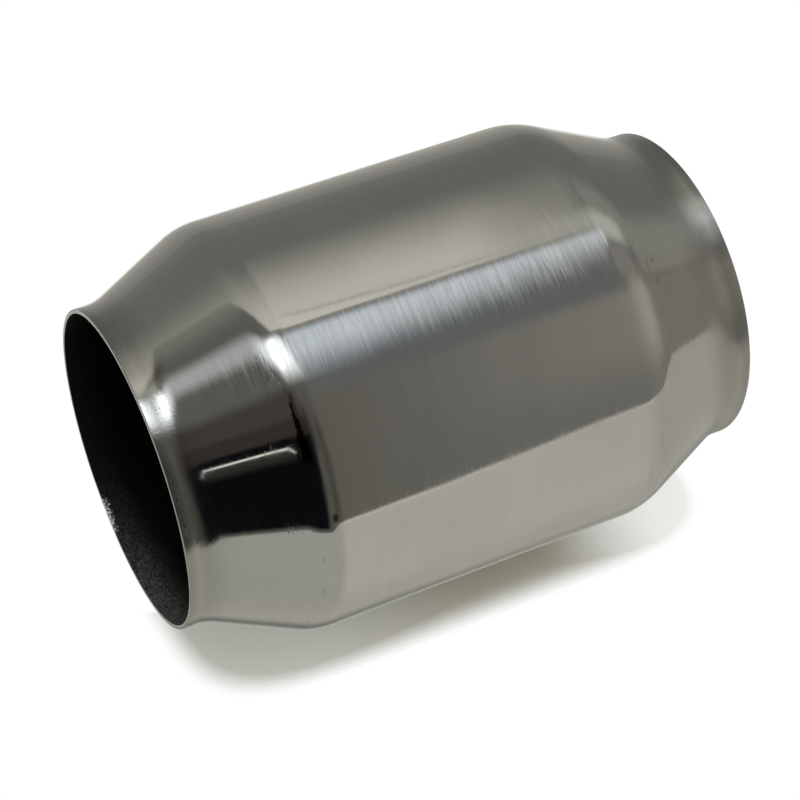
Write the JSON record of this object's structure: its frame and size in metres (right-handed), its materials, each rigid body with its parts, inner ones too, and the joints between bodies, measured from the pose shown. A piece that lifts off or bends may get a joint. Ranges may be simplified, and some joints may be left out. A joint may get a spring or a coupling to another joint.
{
  "type": "catalytic converter",
  "caption": "Round exhaust converter: a polished one-piece spun steel shell with a neck and a cone at each end, round a wound metal foil core held in a fibre mat.",
  "frame": {"origin": "centre of the inlet rim's plane, which the part stands on", "axes": "+Z along the shell's axis, from the inlet rim to the outlet rim; +X and +Y across it, with the core's two winding eyes on the Y axis"},
  "size_m": [0.1142, 0.1142, 0.1651],
  "materials": {
    "polished_shell": "polished",
    "mantle_steel": "satin",
    "coated_foil": "matte",
    "mat_fibre": "matte",
    "wire_mesh": "satin"
  },
  "bodies": {
    "root": {"shell": "polished_shell", "core_mantle": "mantle_steel", "support_mat": "mat_fibre", "inlet_mesh_ring": "wire_mesh", "outlet_mesh_ring": "wire_mesh", "flat_foil_01": "coated_foil", "flat_foil_02": "coated_foil", "flat_foil_03": "coated_foil", "flat_foil_04": "coated_foil", "flat_foil_05": "coated_foil", "flat_foil_06": "coated_foil", "flat_foil_07": "coated_foil", "flat_foil_08": "coated_foil", "flat_foil_09": "coated_foil", "flat_foil_10": "coated_foil", "flat_foil_11": "coated_foil", "corrugated_foil_01": "coated_foil", "corrugated_foil_02": "coated_foil", "corrugated_foil_03": "coated_foil", "corrugated_foil_04": "coated_foil", "corrugated_foil_05": "coated_foil", "corrugated_foil_06": "coated_foil", "corrugated_foil_07": "coated_foil", "corrugated_foil_08": "coated_foil", "corrugated_foil_09": "coated_foil", "corrugated_foil_10": "coated_foil"}
  },
  "joints": []
}
